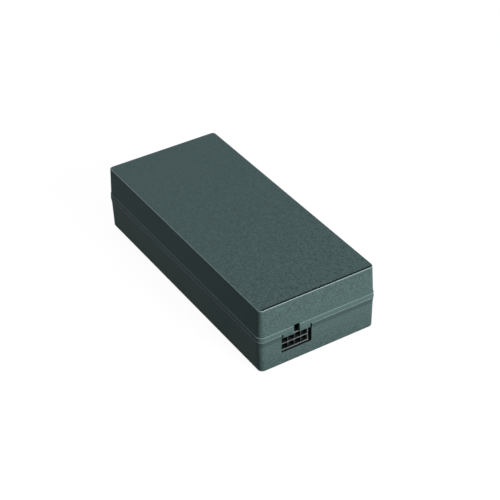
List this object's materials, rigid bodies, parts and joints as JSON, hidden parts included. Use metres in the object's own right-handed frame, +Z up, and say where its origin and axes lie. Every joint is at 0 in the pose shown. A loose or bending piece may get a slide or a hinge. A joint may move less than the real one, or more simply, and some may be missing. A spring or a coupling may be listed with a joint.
{
  "type": "ac power adapter",
  "caption": "Closed rectangular desktop power adapter case with a proud band at its parting line, a keyed dc socket low in one end and an ac inlet in the other.",
  "frame": {"origin": "on the plane the feet rest on, under the middle of the case", "axes": "+X across the case, +Y along it from the dc socket's end to the ac inlet's end, +Z up from the feet"},
  "size_m": [0.0768, 0.173, 0.0424],
  "materials": {
    "case_plastic": "dark grey-green moulded plastic with a fine spark-eroded grain",
    "foot_rubber": "black rubber",
    "insulating_film": "milky insulating film",
    "board_laminate": "green solder resist on glass-epoxy",
    "inlet_plastic": "black moulded plastic",
    "plated_contact": "tin-plated brass",
    "header_plastic": "black glass-filled nylon with lighter front edges",
    "fuse_ceramic": "white ceramic with plated caps",
    "varistor_coat": "blue epoxy coat",
    "limiter_coat": "dark green epoxy coat",
    "film_case": "yellow moulded box",
    "disc_coat": "light blue epoxy coat",
    "ferrite": "dark sintered ferrite",
    "coated_ring": "epoxy-coated ferrite ring",
    "copper_wire": "enamelled copper wire",
    "winding_tape": "yellow polyester tape over the winding",
    "bobbin_plastic": "black phenolic",
    "can_sleeve": "shrunk sleeve over an aluminium can",
    "sink_aluminium": "bare sheet aluminium",
    "moulded_device": "black moulding compound with tinned metal",
    "screw_steel": "zinc-plated steel"
  },
  "bodies": {
    "root": {"lower_case": "case_plastic", "upper_case": "case_plastic", "foot_front_left": "foot_rubber", "foot_back_left": "foot_rubber", "foot_front_right": "foot_rubber", "foot_back_right": "foot_rubber", "insulating_sheet": "insulating_film", "main_board": "board_laminate", "control_board": "board_laminate", "inlet_housing": "inlet_plastic", "inlet_blade_line": "plated_contact", "inlet_blade_neutral": "plated_contact", "inlet_blade_earth": "plated_contact", "fuse_clips": "plated_contact", "dc_contact_1": "plated_contact", "dc_contact_2": "plated_contact", "dc_contact_3": "plated_contact", "dc_contact_4": "plated_contact", "dc_contact_5": "plated_contact", "dc_contact_6": "plated_contact", "dc_contact_7": "plated_contact", "dc_contact_8": "plated_contact", "header_housing": "header_plastic", "fuse": "fuse_ceramic", "surge_varistor": "varistor_coat", "inrush_limiter": "limiter_coat", "film_capacitor_1": "film_case", "film_capacitor_2": "film_case", "disc_capacitor_1": "disc_coat", "disc_capacitor_2": "disc_coat", "boost_choke_core_bottom": "ferrite", "boost_choke_core_top": "ferrite", "transformer_core_bottom": "ferrite", "transformer_core_top": "ferrite", "line_filter_core": "coated_ring", "output_choke_core": "coated_ring", "line_filter_coil_1": "copper_wire", "line_filter_coil_2": "copper_wire", "output_choke_coil": "copper_wire", "boost_choke_coil": "winding_tape", "transformer_coil": "winding_tape", "boost_choke_bobbin": "bobbin_plastic", "transformer_bobbin": "bobbin_plastic", "bulk_capacitor": "can_sleeve", "output_capacitor_1": "can_sleeve", "output_capacitor_2": "can_sleeve", "output_capacitor_3": "can_sleeve", "output_capacitor_4": "can_sleeve", "primary_heatsink": "sink_aluminium", "output_heatsink": "sink_aluminium", "bridge_rectifier": "moulded_device", "boost_diode": "moulded_device", "boost_transistor": "moulded_device", "main_transistor": "moulded_device", "output_rectifier_1": "moulded_device", "output_rectifier_2": "moulded_device", "controller_chip": "moulded_device", "optocoupler": "moulded_device", "primary_screws": "screw_steel", "output_screws": "screw_steel"}
  },
  "joints": []
}
